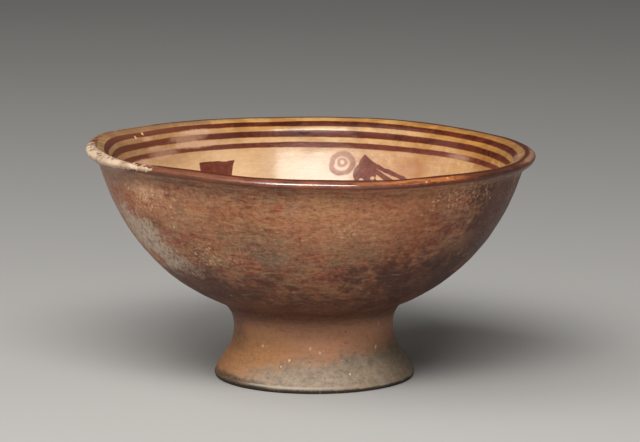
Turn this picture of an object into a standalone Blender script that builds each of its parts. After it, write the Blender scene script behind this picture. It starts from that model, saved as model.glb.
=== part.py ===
"""A pedestal bowl of painted earthenware, hand-built and fired as one piece.

The bowl opens upwards under a turned-out lip. A low flaring foot, hollow from below,
carries it. The whole vessel is one wall of clay: its section is drawn as a closed line
of radius and height, and that line is turned about the vertical axis. The clay was not
perfectly true, so the rim leans a little and the foot stands a little off centre.

Frame: metres, +Z up, origin on the table under the middle of the rim, front towards -Y.
"""

import math

import bmesh
import bpy
from mathutils import Vector

# Rim and lip
RIM_RADIUS = 0.100
RIM_HEIGHT = 0.103
LIP_OVERHANG = 0.0057
LIP_DEPTH = 0.0080
LIP_WIDEST_DROP = 0.0017
LIP_CREST_INSET = 0.0032

# Wall and floor of the bowl
WALL_THICKNESS = 0.0060
FLOOR_THICKNESS = 0.0072
UNDERSIDE_HEIGHT = 0.0268
WALL_LEAN = math.radians(73.8)

# Foot
FOOT_RADIUS = 0.0450
FOOT_WIDEST_HEIGHT = 0.0018
FOOT_FLARE = math.radians(25.2)
FOOT_WALL = 0.0062
FOOT_EDGE_ROUNDING = 0.0014
HOLLOW_EDGE_ROUNDING = 0.0022
NECK_RADIUS = 0.0358
NECK_HEIGHT = 0.0237
NECK_FILLET = 0.0066
HOLLOW_FILLET = 0.0045

# How far the potter's hand strayed from true
RIM_LEAN = 0.0017
FOOT_OFFSET = 0.0015

# Fullness of the curves, as shares of the spans they cross
FLOOR_SPREAD = 0.474
WALL_REACH = 0.688
FOOT_SWEEP = 0.488
NECK_SWEEP = 0.478
LIP_TURN = 0.36
ROUND = 0.55

# Facets
TURN_STEPS = 64
BOWL_STEPS = 16
FOOT_STEPS = 6
LIP_STEPS = 4
FILLET_STEPS = 4
EDGE_STEPS = 3
MERGE_DISTANCE = 1e-6

SLIP_COLOUR = (0.36, 0.17, 0.095, 1.0)
SLIP_ROUGHNESS = 0.5


def cubic(start, start_handle, end_handle, end, share):
    """The point at a share of the way along a cubic curve."""
    rest = 1.0 - share
    return (
        start * rest**3
        + start_handle * (3.0 * rest**2 * share)
        + end_handle * (3.0 * rest * share**2)
        + end * share**3
    )


def cubic_points(start, start_handle, end_handle, end, steps):
    """Points along a cubic curve, without its first one, which the line already has."""
    return [cubic(start, start_handle, end_handle, end, (i + 1) / steps) for i in range(steps)]


def rounded_corner(start, corner, end, steps):
    """Points that round the corner between two runs, without the first one."""
    return cubic_points(start, start.lerp(corner, ROUND), end.lerp(corner, ROUND), end, steps)


def inward(outer_direction):
    """The unit direction into the clay from an outer line that runs upwards."""
    return Vector((-outer_direction.y, outer_direction.x)).normalized()


class BowlCurve:
    """The outside of the bowl from the axis up to the lip, as one cubic curve."""

    def __init__(self):
        self.start = Vector((0.0, UNDERSIDE_HEIGHT))
        self.end = Vector((RIM_RADIUS - LIP_OVERHANG, RIM_HEIGHT - LIP_DEPTH))
        rise = WALL_REACH * (self.end.y - self.start.y)
        self.start_handle = Vector((FLOOR_SPREAD * self.end.x, UNDERSIDE_HEIGHT))
        self.wall_direction = Vector((math.cos(WALL_LEAN), math.sin(WALL_LEAN)))
        self.end_handle = self.end - self.wall_direction * rise

    def point(self, share):
        return cubic(self.start, self.start_handle, self.end_handle, self.end, share)

    def direction(self, share):
        step = 1e-4
        low = max(0.0, share - step)
        high = min(1.0, share + step)
        return (self.point(high) - self.point(low)).normalized()

    def share_at_radius(self, radius):
        """Where along the curve its radius has grown to the one asked for."""
        low, high = 0.0, 1.0
        for _ in range(50):
            middle = (low + high) / 2.0
            if self.point(middle).x < radius:
                low = middle
            else:
                high = middle
        return (low + high) / 2.0

    def inner_point(self, share):
        """The inside of the bowl: the outside moved in by the wall, thicker at the floor."""
        thinning = share * share * (3.0 - 2.0 * share)
        thickness = FLOOR_THICKNESS + (WALL_THICKNESS - FLOOR_THICKNESS) * thinning
        return self.point(share) + inward(self.direction(share)) * thickness


class FootCurve:
    """The outside of the foot from its widest point up to the neck, as one cubic curve."""

    def __init__(self):
        self.start = Vector((FOOT_RADIUS, FOOT_WIDEST_HEIGHT))
        self.end = Vector((NECK_RADIUS, NECK_HEIGHT))
        rise = self.end.y - self.start.y
        lean = Vector((-math.sin(FOOT_FLARE), math.cos(FOOT_FLARE)))
        self.start_handle = self.start + lean * (FOOT_SWEEP * rise)
        self.end_handle = self.end - Vector((0.0, NECK_SWEEP * rise))

    def point(self, share):
        return cubic(self.start, self.start_handle, self.end_handle, self.end, share)

    def direction(self, share):
        step = 1e-4
        low = max(0.0, share - step)
        high = min(1.0, share + step)
        return (self.point(high) - self.point(low)).normalized()

    def inner_point(self, share):
        """The inside of the foot's wall."""
        return self.point(share) + inward(self.direction(share)) * FOOT_WALL

    def inner_share_at_height(self, height):
        """Where along the curve the inside of the wall has risen to the height asked for."""
        low, high = 0.0, 1.0
        for _ in range(50):
            middle = (low + high) / 2.0
            if self.inner_point(middle).y < height:
                low = middle
            else:
                high = middle
        return (low + high) / 2.0


def hollow_of_foot(bowl, foot):
    """From the axis under the bowl, out and down the inside of the foot to the standing ring."""
    wall_top = foot.inner_point(1.0)
    ceiling = bowl.share_at_radius(wall_top.x - HOLLOW_FILLET)
    line = [bowl.point(ceiling * i / FOOT_STEPS) for i in range(FOOT_STEPS + 1)]
    corner = Vector((wall_top.x, bowl.point(bowl.share_at_radius(wall_top.x)).y))
    fillet_end = Vector((corner.x, corner.y - HOLLOW_FILLET))
    line += rounded_corner(line[-1], corner, fillet_end, FILLET_STEPS)
    # The wall runs down the foot's own curve until it turns into the standing ring.
    lowest = foot.inner_share_at_height(HOLLOW_EDGE_ROUNDING)
    wall = [foot.inner_point(1.0 - (1.0 - lowest) * i / FOOT_STEPS) for i in range(FOOT_STEPS + 1)]
    line += [point for point in wall if point.y < fillet_end.y]
    ring_corner = Vector((foot.inner_point(foot.inner_share_at_height(0.0)).x, 0.0))
    ring_inner = ring_corner + Vector((HOLLOW_EDGE_ROUNDING, 0.0))
    line += rounded_corner(line[-1], ring_corner, ring_inner, EDGE_STEPS)
    return line


def outside_of_foot(bowl, foot):
    """From the standing ring up the outside of the foot and into the bowl."""
    ring_outer = Vector((FOOT_RADIUS - FOOT_EDGE_ROUNDING, 0.0))
    line = [ring_outer]
    corner = Vector((FOOT_RADIUS, 0.0))
    line += rounded_corner(ring_outer, corner, foot.start, EDGE_STEPS)
    line += [foot.point((i + 1) / FOOT_STEPS) for i in range(FOOT_STEPS)]
    meeting = bowl.point(bowl.share_at_radius(NECK_RADIUS))
    fillet_end = bowl.point(fillet_share(bowl))
    line += rounded_corner(foot.end, meeting, fillet_end, FILLET_STEPS)
    return line


def fillet_share(bowl):
    """Where the neck's fillet runs out on the bowl."""
    return bowl.share_at_radius(NECK_RADIUS + NECK_FILLET)


def outside_of_bowl(bowl):
    """From the neck's fillet up to the lip."""
    first = fillet_share(bowl)
    return [bowl.point(first + (1.0 - first) * (i + 1) / BOWL_STEPS) for i in range(BOWL_STEPS)]


def lip(bowl):
    """The turned-out lip: out to its widest, over the crest and down to the inner wall."""
    crest = Vector((RIM_RADIUS - LIP_CREST_INSET, RIM_HEIGHT))
    widest = Vector((RIM_RADIUS, RIM_HEIGHT - LIP_WIDEST_DROP))
    inner = bowl.inner_point(1.0)
    below = bowl.wall_direction * (LIP_TURN * LIP_DEPTH)
    under_widest = widest - Vector((0.0, LIP_TURN * (widest.y - bowl.end.y)))
    line = cubic_points(bowl.end, bowl.end + below, under_widest, widest, LIP_STEPS)
    line += rounded_corner(widest, Vector((widest.x, crest.y)), crest, LIP_STEPS)
    flare = (crest.y - inner.y) / 2.0
    crest_handle = crest - Vector((crest.x - inner.x, 0.0)) / 2.0
    line += cubic_points(crest, crest_handle, inner + bowl.wall_direction * flare, inner, LIP_STEPS + 1)
    return line


def inside_of_bowl(bowl):
    """From under the lip down the inner wall to the middle of the floor."""
    return [bowl.inner_point(1.0 - (i + 1) / BOWL_STEPS) for i in range(BOWL_STEPS)]


def section():
    """The whole section of the wall, from the axis under the bowl to the axis on its floor."""
    bowl = BowlCurve()
    foot = FootCurve()
    line = hollow_of_foot(bowl, foot)
    line += outside_of_foot(bowl, foot)
    line += outside_of_bowl(bowl)
    line += lip(bowl)
    line += inside_of_bowl(bowl)
    line[0].x = 0.0
    line[-1].x = 0.0
    return line


def hand_of_the_potter(point):
    """Moves a point of the true turned form to where the hand-built clay has it."""
    rise = (point.z - NECK_HEIGHT) / (RIM_HEIGHT - NECK_HEIGHT)
    rise = min(1.0, max(0.0, rise))
    below = 1.0 - min(1.0, (point.z / (2.0 * NECK_HEIGHT)) ** 2)
    lean = -RIM_LEAN * rise * point.x / RIM_RADIUS
    return Vector((point.x + FOOT_OFFSET * below, point.y, point.z + lean))


def turned(name, line):
    """A mesh made by turning the section about the vertical axis."""
    form = bmesh.new()
    points = [form.verts.new((p.x, 0.0, p.y)) for p in line]
    edges = [form.edges.new(pair) for pair in zip(points[:-1], points[1:])]
    bmesh.ops.spin(
        form,
        geom=points + edges,
        cent=(0.0, 0.0, 0.0),
        axis=(0.0, 0.0, 1.0),
        angle=math.tau,
        steps=TURN_STEPS,
        use_merge=True,
    )
    bmesh.ops.remove_doubles(form, verts=form.verts, dist=MERGE_DISTANCE)
    bmesh.ops.recalc_face_normals(form, faces=form.faces)
    for vertex in form.verts:
        vertex.co = hand_of_the_potter(vertex.co)
    mesh = bpy.data.meshes.new(name)
    form.to_mesh(mesh)
    form.free()
    return mesh


def painted_earthenware():
    """Fired clay under its red-brown slip."""
    material = bpy.data.materials.new("painted_earthenware")
    material.use_nodes = True
    shader = material.node_tree.nodes["Principled BSDF"]
    shader.inputs["Base Color"].default_value = SLIP_COLOUR
    shader.inputs["Roughness"].default_value = SLIP_ROUGHNESS
    shader.inputs["Metallic"].default_value = 0.0
    return material


def build_pedestal_bowl():
    mesh = turned("pedestal_bowl", section())
    mesh.materials.append(painted_earthenware())
    mesh.shade_smooth()
    mesh.set_sharp_from_angle(angle=math.radians(50.0))
    vessel = bpy.data.objects.new("pedestal_bowl", mesh)
    bpy.context.scene.collection.objects.link(vessel)
    return vessel


def main():
    for left_over in list(bpy.data.objects):
        bpy.data.objects.remove(left_over, do_unlink=True)
    build_pedestal_bowl()


main()
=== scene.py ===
"""Looks of the pedestal bowl: its hand-built surface, slip, painted inside, wear and studio.

The visual form repeats the section of the solid at a finer grain, and adds the swells of
hand-building, the worn lip and the small chips. Lengths in the section are metres, as in
the frame. Relief and painted shapes are in millimetres, measured on the wall: "reach" is
the distance along the section from the crest of the lip, positive down the inside and
negative down the outside, and "angle" runs round the bowl in degrees from the front,
positive towards the right of the photo.
"""

import math

import bpy
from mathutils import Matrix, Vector, noise


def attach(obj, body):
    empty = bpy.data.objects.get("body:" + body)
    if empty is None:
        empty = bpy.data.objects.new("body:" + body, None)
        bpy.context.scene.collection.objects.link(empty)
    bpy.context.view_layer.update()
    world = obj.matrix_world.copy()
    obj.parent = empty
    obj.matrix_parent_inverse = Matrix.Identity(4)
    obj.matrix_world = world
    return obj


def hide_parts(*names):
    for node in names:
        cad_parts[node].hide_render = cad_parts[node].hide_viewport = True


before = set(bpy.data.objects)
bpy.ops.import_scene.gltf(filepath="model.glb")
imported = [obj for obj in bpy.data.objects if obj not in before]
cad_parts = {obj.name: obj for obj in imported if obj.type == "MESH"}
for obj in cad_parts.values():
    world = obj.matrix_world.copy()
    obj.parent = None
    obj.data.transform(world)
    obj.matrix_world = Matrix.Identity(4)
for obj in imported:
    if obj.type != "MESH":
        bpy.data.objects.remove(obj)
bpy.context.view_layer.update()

# Section of the wall, as the solid has it
RIM_RADIUS = 0.100
RIM_HEIGHT = 0.103
LIP_OVERHANG = 0.0057
LIP_DEPTH = 0.0080
LIP_WIDEST_DROP = 0.0017
LIP_CREST_INSET = 0.0032
WALL_THICKNESS = 0.0060
FLOOR_THICKNESS = 0.0072
UNDERSIDE_HEIGHT = 0.0268
WALL_LEAN = math.radians(73.8)
FOOT_RADIUS = 0.0450
FOOT_WIDEST_HEIGHT = 0.0018
FOOT_FLARE = math.radians(25.2)
FOOT_WALL = 0.0062
FOOT_EDGE_ROUNDING = 0.0014
HOLLOW_EDGE_ROUNDING = 0.0022
NECK_RADIUS = 0.0358
NECK_HEIGHT = 0.0237
NECK_FILLET = 0.0066
HOLLOW_FILLET = 0.0045
RIM_LEAN = 0.0017
FOOT_OFFSET = 0.0015
FLOOR_SPREAD = 0.474
WALL_REACH = 0.688
FOOT_SWEEP = 0.488
NECK_SWEEP = 0.478
LIP_TURN = 0.36
ROUND = 0.55

# Grain of the visual mesh
TURN_STEPS = 384
BOWL_STEPS = 66
FOOT_STEPS = 30
HOLLOW_STEPS = 12
LIP_STEPS = 9
FILLET_STEPS = 8
EDGE_STEPS = 4

# The inside's painted bands, by reach
BANDS = ((4.8, 7.8), (10.0, 13.0), (15.4, 17.9))
FLOOR_LINE = (61.0, 63.2)
BAND_WANDER = 0.42
BAND_SOFTNESS = 0.26
FIGURE_REPEATS = 3

MILLIMETRES = 1000.0


def cubic(start, start_handle, end_handle, end, share):
    """The point at a share of the way along a cubic curve."""
    rest = 1.0 - share
    return (
        start * rest**3
        + start_handle * (3.0 * rest**2 * share)
        + end_handle * (3.0 * rest * share**2)
        + end * share**3
    )


def cubic_points(start, start_handle, end_handle, end, steps):
    """Points along a cubic curve, without its first one, which the line already has."""
    return [cubic(start, start_handle, end_handle, end, (i + 1) / steps) for i in range(steps)]


def rounded_corner(start, corner, end, steps):
    """Points that round the corner between two runs, without the first one."""
    return cubic_points(start, start.lerp(corner, ROUND), end.lerp(corner, ROUND), end, steps)


def share_where(measure, wanted):
    """The share of a curve at which a rising measure reaches the value asked for."""
    low, high = 0.0, 1.0
    for _ in range(50):
        middle = (low + high) / 2.0
        if measure(middle) < wanted:
            low = middle
        else:
            high = middle
    return (low + high) / 2.0


class WallCurve:
    """The outside of a wall as one cubic curve that runs upwards."""

    def __init__(self, start, start_handle, end_handle, end):
        self.points = (start, start_handle, end_handle, end)
        self.start = start
        self.end = end

    def point(self, share):
        return cubic(*self.points, share)

    def direction(self, share):
        step = 1e-4
        low = max(0.0, share - step)
        high = min(1.0, share + step)
        return (self.point(high) - self.point(low)).normalized()

    def inner_point(self, share, thickness):
        """The inside of the wall, square through the clay from the outside."""
        along = self.direction(share)
        return self.point(share) + Vector((-along.y, along.x)) * thickness

    def share_at_radius(self, radius):
        return share_where(lambda share: self.point(share).x, radius)


def bowl_curve():
    start = Vector((0.0, UNDERSIDE_HEIGHT))
    end = Vector((RIM_RADIUS - LIP_OVERHANG, RIM_HEIGHT - LIP_DEPTH))
    rise = WALL_REACH * (end.y - start.y)
    start_handle = Vector((FLOOR_SPREAD * end.x, UNDERSIDE_HEIGHT))
    wall_direction = Vector((math.cos(WALL_LEAN), math.sin(WALL_LEAN)))
    return WallCurve(start, start_handle, end - wall_direction * rise, end)


def foot_curve():
    start = Vector((FOOT_RADIUS, FOOT_WIDEST_HEIGHT))
    end = Vector((NECK_RADIUS, NECK_HEIGHT))
    rise = end.y - start.y
    lean = Vector((-math.sin(FOOT_FLARE), math.cos(FOOT_FLARE)))
    end_handle = end - Vector((0.0, NECK_SWEEP * rise))
    return WallCurve(start, start + lean * (FOOT_SWEEP * rise), end_handle, end)


def bowl_inside(bowl, share):
    """The inside of the bowl: the wall thickens a little towards the floor."""
    thinning = share * share * (3.0 - 2.0 * share)
    return bowl.inner_point(share, FLOOR_THICKNESS + (WALL_THICKNESS - FLOOR_THICKNESS) * thinning)


def hollow_line(bowl, foot):
    """From the axis under the bowl, out and down the inside of the foot to the standing ring."""
    wall_top = foot.inner_point(1.0, FOOT_WALL)
    ceiling = bowl.share_at_radius(wall_top.x - HOLLOW_FILLET)
    line = [bowl.point(ceiling * i / HOLLOW_STEPS) for i in range(HOLLOW_STEPS + 1)]
    corner = Vector((wall_top.x, bowl.point(bowl.share_at_radius(wall_top.x)).y))
    fillet_end = Vector((corner.x, corner.y - HOLLOW_FILLET))
    line += rounded_corner(line[-1], corner, fillet_end, FILLET_STEPS)
    lowest = share_where(lambda share: foot.inner_point(share, FOOT_WALL).y, HOLLOW_EDGE_ROUNDING)
    shares = [1.0 - (1.0 - lowest) * i / HOLLOW_STEPS for i in range(HOLLOW_STEPS + 1)]
    wall = [foot.inner_point(share, FOOT_WALL) for share in shares]
    line += [point for point in wall if point.y < fillet_end.y]
    at_table = share_where(lambda share: foot.inner_point(share, FOOT_WALL).y, 0.0)
    ring_corner = Vector((foot.inner_point(at_table, FOOT_WALL).x, 0.0))
    ring_inner = ring_corner + Vector((HOLLOW_EDGE_ROUNDING, 0.0))
    return line + rounded_corner(line[-1], ring_corner, ring_inner, EDGE_STEPS)


def foot_line(bowl, foot):
    """From the standing ring up the outside of the foot and into the bowl."""
    ring_outer = Vector((FOOT_RADIUS - FOOT_EDGE_ROUNDING, 0.0))
    line = [ring_outer]
    line += rounded_corner(ring_outer, Vector((FOOT_RADIUS, 0.0)), foot.start, EDGE_STEPS)
    line += [foot.point((i + 1) / FOOT_STEPS) for i in range(FOOT_STEPS)]
    meeting = bowl.point(bowl.share_at_radius(NECK_RADIUS))
    fillet_end = bowl.point(bowl.share_at_radius(NECK_RADIUS + NECK_FILLET))
    return line + rounded_corner(foot.end, meeting, fillet_end, FILLET_STEPS)


def bowl_line(bowl):
    """From the neck's fillet up the outside of the bowl to the lip."""
    first = bowl.share_at_radius(NECK_RADIUS + NECK_FILLET)
    return [bowl.point(first + (1.0 - first) * (i + 1) / BOWL_STEPS) for i in range(BOWL_STEPS)]


def lip_lines(bowl):
    """The turned-out lip: out and up to its crest, then down to the inner wall."""
    crest = Vector((RIM_RADIUS - LIP_CREST_INSET, RIM_HEIGHT))
    widest = Vector((RIM_RADIUS, RIM_HEIGHT - LIP_WIDEST_DROP))
    inner = bowl_inside(bowl, 1.0)
    wall_direction = bowl.direction(1.0)
    below = bowl.end + wall_direction * (LIP_TURN * LIP_DEPTH)
    under_widest = widest - Vector((0.0, LIP_TURN * (widest.y - bowl.end.y)))
    outer = cubic_points(bowl.end, below, under_widest, widest, LIP_STEPS)
    outer += rounded_corner(widest, Vector((widest.x, crest.y)), crest, LIP_STEPS)
    crest_handle = crest - Vector((crest.x - inner.x, 0.0)) / 2.0
    inner_handle = inner + wall_direction * ((crest.y - inner.y) / 2.0)
    return outer, cubic_points(crest, crest_handle, inner_handle, inner, LIP_STEPS + 3)


def inside_line(bowl):
    """From under the lip down the inner wall to the middle of the floor."""
    return [bowl_inside(bowl, 1.0 - (i + 1) / BOWL_STEPS) for i in range(BOWL_STEPS)]


class Section:
    """The whole closed section, with each point's reach and the rows where its finishes meet."""

    def __init__(self):
        bowl = bowl_curve()
        foot = foot_curve()
        self.line = hollow_line(bowl, foot)
        self.clay_end = len(self.line)
        self.line += foot_line(bowl, foot) + bowl_line(bowl)
        outer_lip, inner_lip = lip_lines(bowl)
        self.line += outer_lip
        self.crest = len(self.line) - 1
        self.line += inner_lip + inside_line(bowl)
        self.line[0].x = 0.0
        self.line[-1].x = 0.0
        travelled = [0.0]
        for before, after in zip(self.line[:-1], self.line[1:]):
            travelled.append(travelled[-1] + (after - before).length * MILLIMETRES)
        self.reach = [distance - travelled[self.crest] for distance in travelled]

    def outward(self, row):
        """The direction out of the clay at a row, in the plane of the section."""
        before = self.line[max(0, row - 1)]
        after = self.line[min(len(self.line) - 1, row + 1)]
        along = (after - before).normalized()
        return Vector((along.y, -along.x))


# The hand's work and the wear, in millimetres out of the clay
SWELL_HEIGHT = 0.26
SCRAPED_HEIGHT = 0.11
FINE_HEIGHT = 0.04
LIP_SWELL_HEIGHT = 0.20
FULL_LIP_HEIGHT = 0.5
PLASTER_CRUMB_HEIGHT = 0.26

# The foot's standing ring, which wear and swells leave flat, by reach
STANDING_RING = (-146.0, -133.0)


def smooth(value, low, high):
    """0 below low and 1 above high, with an eased step between."""
    share = min(1.0, max(0.0, (value - low) / (high - low)))
    return share * share * (3.0 - 2.0 * share)


def between(value, low, high, ease):
    """1 inside a range and 0 outside it, eased over a distance at both ends."""
    return smooth(value, low - ease, low + ease) * (1.0 - smooth(value, high - ease, high + ease))


def turned_from(angle, middle):
    """How many degrees round the bowl an angle lies from another one."""
    return (angle - middle + 180.0) % 360.0 - 180.0


RIM_SWELLS = (
    # angle, half width in degrees, rise
    (-39.0, 30.0, 1.2),
    (-103.0, 22.0, 0.9),
    (160.0, 34.0, 0.7),
    (20.0, 22.0, -0.4),
)
RIM_SWELL_DEPTH = 0.018


def rim_rise(angle, height):
    """How far the hand left the rim above or below a true ring, fading out down the wall."""
    at_rim = smooth(height, RIM_HEIGHT - RIM_SWELL_DEPTH, RIM_HEIGHT)
    rise = 0.0
    for middle, half_width, most in RIM_SWELLS:
        rise += most * (1.0 - smooth(abs(turned_from(angle, middle)), 0.0, half_width))
    return rise * at_rim


def hand_built(place, reach):
    """Slow swells of a wall raised by hand, and the flats that scraping left round it."""
    swell = noise.noise(place * 24.0)
    scraped = noise.noise(Vector((place.x * 26.0, place.y * 26.0, reach * 0.21)))
    fine = noise.noise(Vector((place.x * 110.0, place.y * 110.0, reach * 0.6)))
    return SWELL_HEIGHT * swell + SCRAPED_HEIGHT * scraped + FINE_HEIGHT * fine


def uneven_lip(angle, place, reach):
    """The lip swells and thins where fingers turned it out, and is fuller on top in front."""
    on_lip = between(reach, -8.5, 4.0, 3.0)
    turned_out = LIP_SWELL_HEIGHT * noise.noise(place * 62.0 + Vector((3.1, 0.0, 0.0)))
    front = 1.0 - smooth(abs(turned_from(angle, 6.0)), 30.0, 62.0)
    return on_lip * turned_out + FULL_LIP_HEIGHT * front * between(reach, -1.4, 2.2, 1.6)


# Millimetres that a degree spans along the lip
LIP_DEGREE = 1.7

# Outline of the pale plaster that mends the lip at the left
MEND = (
    # angle, reach of its lower edge, reach of its inner edge, thickness
    (-92.0, -3.0, 0.0, 0.0),
    (-85.0, -4.4, 1.0, 0.25),
    (-78.0, -5.2, 2.6, 0.40),
    (-70.0, -6.6, 3.4, 0.50),
    (-62.0, -5.6, 2.2, 0.45),
    (-55.0, -4.8, -0.6, 0.40),
    (-50.0, -4.4, -2.0, 0.30),
    (-42.6, -4.0, -2.8, 0.10),
)


def mended(angle, reach):
    """How far inside the plaster's outline a point is, and the plaster's thickness there."""
    ends = min(angle - MEND[0][0], MEND[-1][0] - angle) * LIP_DEGREE
    lower, inner, thickness = MEND[0][1:] if angle < MEND[0][0] else MEND[-1][1:]
    for first, second in zip(MEND, MEND[1:]):
        if first[0] <= angle <= second[0]:
            share = (angle - first[0]) / (second[0] - first[0])
            pairs = zip(first[1:], second[1:])
            lower, inner, thickness = [start + (end - start) * share for start, end in pairs]
    inside = min(reach - lower, inner - reach, ends)
    return max(-6.0, min(6.0, inside)), thickness


def plaster_lift(place, inside, thickness):
    """The plaster stands a little proud, worked smooth with a few low lumps and a crumbled edge."""
    lumps = 0.75 + 0.9 * noise.noise(place * 75.0)
    crumbs = noise.noise(place * 480.0) * between(inside, -0.6, 1.4, 0.5)
    return (thickness * lumps + PLASTER_CRUMB_HEIGHT * crumbs) * smooth(inside, -0.3, 1.3)


CHIPS = (
    # angle, reach, half width, depth
    (-113.0, -1.0, 2.2, 0.40),
    (-121.7, 5.9, 1.5, 0.30),
    (-117.1, 7.4, 1.4, 0.30),
    (-38.6, -113.8, 1.2, 0.35),
    (-33.9, -113.4, 0.9, 0.25),
    (-2.6, -113.5, 1.1, 0.25),
    (7.0, -114.5, 1.0, 0.30),
    (4.2, -115.3, 1.0, 0.30),
    (-16.8, -119.2, 1.3, 0.30),
    (-21.5, -122.2, 0.9, 0.25),
    (18.9, -118.8, 0.8, 0.25),
    (48.6, -115.1, 1.1, 0.30),
    (53.4, -104.7, 0.9, 0.25),
    (22.5, -125.6, 1.0, 0.20),
    (-58.0, -16.9, 0.9, 0.20),
    (-42.3, -31.7, 0.9, 0.20),
    (73.0, -1.2, 2.4, 0.30),
    (61.0, -2.6, 1.6, 0.25),
    (36.0, -2.0, 1.5, 0.22),
    (139.0, -14.0, 1.6, 0.30),
    (-162.0, -30.0, 1.8, 0.30),
    (171.0, -116.0, 1.5, 0.30),
)


def chipped(angle, radius, reach):
    """How much of a chip a point is in, from 0 to 1, and how deep the chip is there."""
    most = 0.0
    depth = 0.0
    for chip_angle, chip_reach, half_width, chip_depth in CHIPS:
        across = math.radians(turned_from(angle, chip_angle)) * radius
        away = math.hypot(across, reach - chip_reach) / half_width
        share = 1.0 - smooth(away, 0.25, 1.0)
        most = max(most, share)
        depth += chip_depth * share
    return most, depth


def relief(angle, place, reach):
    """How far the surface stands out of the true turned form, its chips and its plaster."""
    radius = math.hypot(place.x, place.y) * MILLIMETRES
    off_the_table = 1.0 - between(reach, *STANDING_RING, 1.5)
    inside, thickness = mended(angle, reach)
    height = hand_built(place, reach) + uneven_lip(angle, place, reach)
    height += plaster_lift(place, inside, thickness)
    chip, depth = chipped(angle, radius, reach)
    return (height - depth) * off_the_table, chip, inside


def hand_of_the_potter(point):
    """Moves a point of the true turned form to where the hand-built clay has it."""
    rise = (point.z - NECK_HEIGHT) / (RIM_HEIGHT - NECK_HEIGHT)
    rise = min(1.0, max(0.0, rise))
    below = 1.0 - min(1.0, (point.z / (2.0 * NECK_HEIGHT)) ** 2)
    lean = -RIM_LEAN * rise * point.x / RIM_RADIUS
    return Vector((point.x + FOOT_OFFSET * below, point.y, point.z + lean))


def surface_point(section, row, angle):
    """A point of the finished surface at a row of the section, its chips and its plaster."""
    turn = math.radians(angle)
    facing = Vector((math.sin(turn), -math.cos(turn), 0.0))
    point = section.line[row]
    place = facing * point.x + Vector((0.0, 0.0, point.y))
    out = section.outward(row)
    lift, chip, inside = relief(angle, place, section.reach[row])
    place += (facing * out.x + Vector((0.0, 0.0, out.y))) * (lift / MILLIMETRES)
    place.z += rim_rise(angle, point.y) / MILLIMETRES
    return hand_of_the_potter(place), chip, inside


def turned_faces(rows):
    """Faces between the rows of a turned form whose first and last rows are single points."""
    last = rows - 2

    def at(row, column):
        return 1 + (row - 1) * TURN_STEPS + column % TURN_STEPS

    end = 1 + last * TURN_STEPS
    faces = []
    for column in range(TURN_STEPS):
        faces.append((0, at(1, column + 1), at(1, column)))
        for row in range(1, last):
            corners = (at(row, column), at(row, column + 1), at(row + 1, column + 1))
            faces.append(corners + (at(row + 1, column),))
        faces.append((at(last, column), at(last, column + 1), end))
    return faces


def build_vessel():
    """The vessel's mesh; its points keep their reach, chips and plaster for the finishes."""
    section = Section()
    last = len(section.line) - 1
    angles = [360.0 * column / TURN_STEPS - 180.0 for column in range(TURN_STEPS)]
    points = []
    reaches = []
    chips = []
    insides = []
    for row, reach in enumerate(section.reach):
        for angle in angles if 0 < row < last else (0.0,):
            point, chip, inside = surface_point(section, row, angle)
            points.append(point)
            reaches.append(reach)
            chips.append(chip)
            insides.append(inside)
    mesh = bpy.data.meshes.new("painted_vessel")
    mesh.from_pydata(points, [], turned_faces(last + 1))
    for name, values in {"reach": reaches, "chip": chips, "plaster": insides}.items():
        mesh.attributes.new(name, "FLOAT", "POINT").data.foreach_set("value", values)
    mesh.shade_smooth()
    vessel = bpy.data.objects.new("painted_vessel", mesh)
    bpy.context.scene.collection.objects.link(vessel)
    for finish in (bare_clay(), outside_slip(), painted_inside()):
        mesh.materials.append(finish)
    ends = (section.reach[section.clay_end], section.reach[section.crest])
    for face in mesh.polygons:
        middle = sum(reaches[corner] for corner in face.vertices) / len(face.vertices)
        face.material_index = 0 if middle < ends[0] else 1 if middle <= ends[1] else 2
    return vessel


# Finishes


def pigment(red, green, blue):
    """A colour given as it looks on a screen, from 0 to 255, in the shader's linear values."""

    def linear(value):
        share = value / 255.0
        return share / 12.92 if share <= 0.04045 else ((share + 0.055) / 1.055) ** 2.4

    return (linear(red), linear(green), linear(blue), 1.0)


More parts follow.
